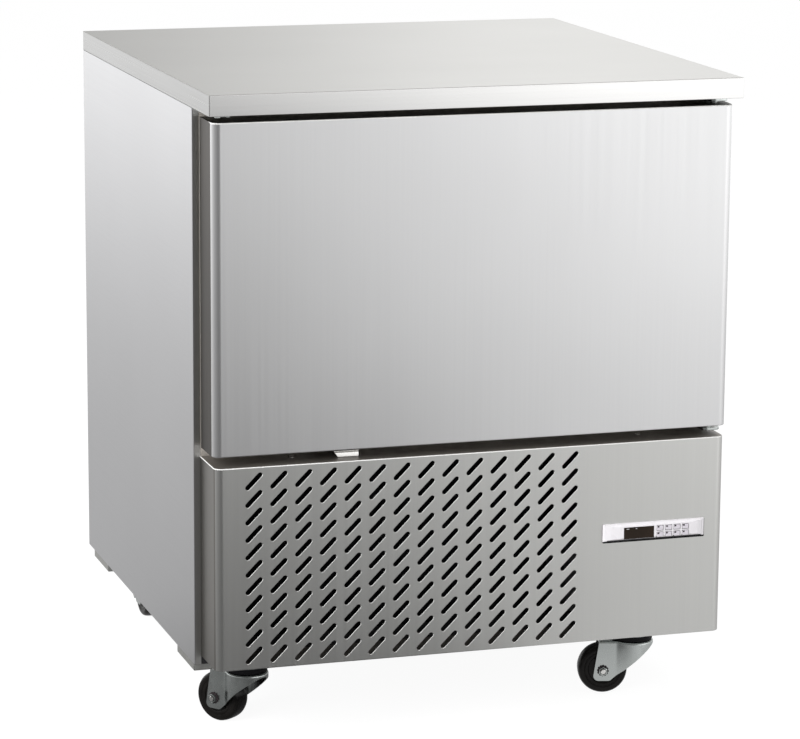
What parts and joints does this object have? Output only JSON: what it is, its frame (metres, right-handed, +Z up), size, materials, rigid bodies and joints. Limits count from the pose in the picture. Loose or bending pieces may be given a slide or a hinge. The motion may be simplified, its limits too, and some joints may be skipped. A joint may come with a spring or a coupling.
{
  "type": "blast chiller",
  "caption": "Under-counter blast chiller: insulated chamber with pan racks behind a side-hinged door, slotted lower panel with a small keypad, worktop, and swivel casters.",
  "frame": {"origin": "on the floor, under the middle of the cabinet's outline", "axes": "+Z up, +X to the right seen from the front, +Y from the door to the rear"},
  "size_m": [0.8, 0.815, 0.965],
  "materials": {
    "worktop_steel": "satin",
    "side_steel": "satin",
    "door_steel": "satin",
    "panel_steel": "satin",
    "frame_steel": "satin",
    "liner_steel": "satin",
    "rack_steel": "satin",
    "galvanised_steel": "matte",
    "channel_steel": "satin",
    "zinc_plate": "satin",
    "hinge_steel": "polished",
    "white_plastic": "satin",
    "key_plastic": "matte",
    "display_glass": "gloss",
    "black_plastic": "matte",
    "fan_plastic": "satin",
    "wheel_black": "satin",
    "gasket_rubber": "matte",
    "foam": "matte",
    "fin_aluminium": "satin",
    "fan_aluminium": "satin",
    "copper": "satin",
    "black_paint": "satin"
  },
  "bodies": {
    "cabinet": {"worktop": "worktop_steel", "left_side_panel": "side_steel", "right_side_panel": "side_steel", "rear_panel": "galvanised_steel", "rear_grille": "galvanised_steel", "front_frame": "frame_steel", "inner_liner": "liner_steel", "insulation": "foam", "machine_deck": "galvanised_steel", "base_pan": "galvanised_steel", "front_channel": "channel_steel", "rear_channel": "channel_steel", "evaporator_coil": "fin_aluminium", "fan_baffle": "liner_steel", "evaporator_fan_motor": "black_paint", "rack_left": "rack_steel", "rack_right": "rack_steel", "core_probe": "rack_steel", "probe_clip": "white_plastic", "top_hinge": "hinge_steel", "bottom_hinge": "hinge_steel", "door_catch": "hinge_steel", "lower_front_panel": "panel_steel", "control_bezel": "white_plastic", "display_window": "display_glass", "controller_case": "black_plastic", "condenser_coil": "fin_aluminium", "condenser_shroud": "black_paint", "condenser_fan_motor": "black_paint", "compressor": "black_paint", "discharge_line": "copper", "electrical_box": "galvanised_steel", "condensate_tray": "black_plastic", "cord_gland": "black_plastic", "front_left_caster_plate": "zinc_plate", "front_right_caster_plate": "zinc_plate", "rear_left_caster_plate": "zinc_plate", "rear_right_caster_plate": "zinc_plate"},
    "door": {"door_skin": "door_steel", "door_foam": "foam", "door_liner": "liner_steel", "door_gasket": "gasket_rubber"},
    "key_1": {"key_1": "key_plastic"},
    "key_2": {"key_2": "key_plastic"},
    "key_3": {"key_3": "key_plastic"},
    "key_4": {"key_4": "key_plastic"},
    "key_5": {"key_5": "key_plastic"},
    "key_6": {"key_6": "key_plastic"},
    "key_7": {"key_7": "key_plastic"},
    "key_8": {"key_8": "key_plastic"},
    "evaporator_fan": {"evaporator_fan": "fan_plastic"},
    "condenser_fan": {"condenser_fan": "fan_aluminium"},
    "front_left_fork": {"front_left_caster_fork": "zinc_plate"},
    "front_left_wheel": {"front_left_caster_wheel": "wheel_black"},
    "front_right_fork": {"front_right_caster_fork": "zinc_plate"},
    "front_right_wheel": {"front_right_caster_wheel": "wheel_black"},
    "rear_left_fork": {"rear_left_caster_fork": "zinc_plate"},
    "rear_left_wheel": {"rear_left_caster_wheel": "wheel_black"},
    "rear_right_fork": {"rear_right_caster_fork": "zinc_plate"},
    "rear_right_wheel": {"rear_right_caster_wheel": "wheel_black"}
  },
  "joints": [
    {"name": "door_hinge", "type": "hinge", "parent": "cabinet", "child": "door", "pos_m": [0.372, -0.3625, 0.6845], "axis": [0, 0, 1], "range_deg": [0, 110]},
    {"name": "key_1_press", "type": "slide", "parent": "cabinet", "child": "key_1", "axis": [0, 1, 0], "range_m": [0, 0.0006], "stiffness_N_per_m": 300, "springref_m": -0.002},
    {"name": "key_2_press", "type": "slide", "parent": "cabinet", "child": "key_2", "axis": [0, 1, 0], "range_m": [0, 0.0006], "stiffness_N_per_m": 300, "springref_m": -0.002},
    {"name": "key_3_press", "type": "slide", "parent": "cabinet", "child": "key_3", "axis": [0, 1, 0], "range_m": [0, 0.0006], "stiffness_N_per_m": 300, "springref_m": -0.002},
    {"name": "key_4_press", "type": "slide", "parent": "cabinet", "child": "key_4", "axis": [0, 1, 0], "range_m": [0, 0.0006], "stiffness_N_per_m": 300, "springref_m": -0.002},
    {"name": "key_5_press", "type": "slide", "parent": "cabinet", "child": "key_5", "axis": [0, 1, 0], "range_m": [0, 0.0006], "stiffness_N_per_m": 300, "springref_m": -0.002},
    {"name": "key_6_press", "type": "slide", "parent": "cabinet", "child": "key_6", "axis": [0, 1, 0], "range_m": [0, 0.0006], "stiffness_N_per_m": 300, "springref_m": -0.002},
    {"name": "key_7_press", "type": "slide", "parent": "cabinet", "child": "key_7", "axis": [0, 1, 0], "range_m": [0, 0.0006], "stiffness_N_per_m": 300, "springref_m": -0.002},
    {"name": "key_8_press", "type": "slide", "parent": "cabinet", "child": "key_8", "axis": [0, 1, 0], "range_m": [0, 0.0006], "stiffness_N_per_m": 300, "springref_m": -0.002},
    {"name": "evaporator_fan_spin", "type": "hinge", "parent": "cabinet", "child": "evaporator_fan", "pos_m": [0, 0.2354, 0.68655], "axis": [0, 1, 0], "continuous": true},
    {"name": "condenser_fan_spin", "type": "hinge", "parent": "cabinet", "child": "condenser_fan", "pos_m": [-0.093, -0.1892, 0.26905], "axis": [0, 1, 0], "continuous": true},
    {"name": "front_left_swivel", "type": "hinge", "parent": "cabinet", "child": "front_left_fork", "pos_m": [-0.306, -0.2505, 0.08], "axis": [0, 0, 1], "continuous": true},
    {"name": "front_left_roll", "type": "hinge", "parent": "front_left_fork", "child": "front_left_wheel", "pos_m": [-0.33368, -0.21376, 0.038], "axis": [-0.7986, -0.6018, 0], "continuous": true},
    {"name": "front_right_swivel", "type": "hinge", "parent": "cabinet", "child": "front_right_fork", "pos_m": [0.306, -0.2505, 0.08], "axis": [0, 0, 1], "continuous": true},
    {"name": "front_right_roll", "type": "hinge", "parent": "front_right_fork", "child": "front_right_wheel", "pos_m": [0.26178, -0.23782, 0.038], "axis": [-0.2756, -0.9613, 0], "continuous": true},
    {"name": "rear_left_swivel", "type": "hinge", "parent": "cabinet", "child": "rear_left_fork", "pos_m": [-0.306, 0.3175, 0.08], "axis": [0, 0, 1], "continuous": true},
    {"name": "rear_left_roll", "type": "hinge", "parent": "rear_left_fork", "child": "rear_left_wheel", "pos_m": [-0.30761, 0.36347, 0.038], "axis": [-0.9994, -0.0349, 0], "continuous": true},
    {"name": "rear_right_swivel", "type": "hinge", "parent": "cabinet", "child": "rear_right_fork", "pos_m": [0.306, 0.3175, 0.08], "axis": [0, 0, 1], "continuous": true},
    {"name": "rear_right_roll", "type": "hinge", "parent": "rear_right_fork", "child": "rear_right_wheel", "pos_m": [0.32173, 0.36073, 0.038], "axis": [-0.9397, 0.342, 0], "continuous": true}
  ]
}
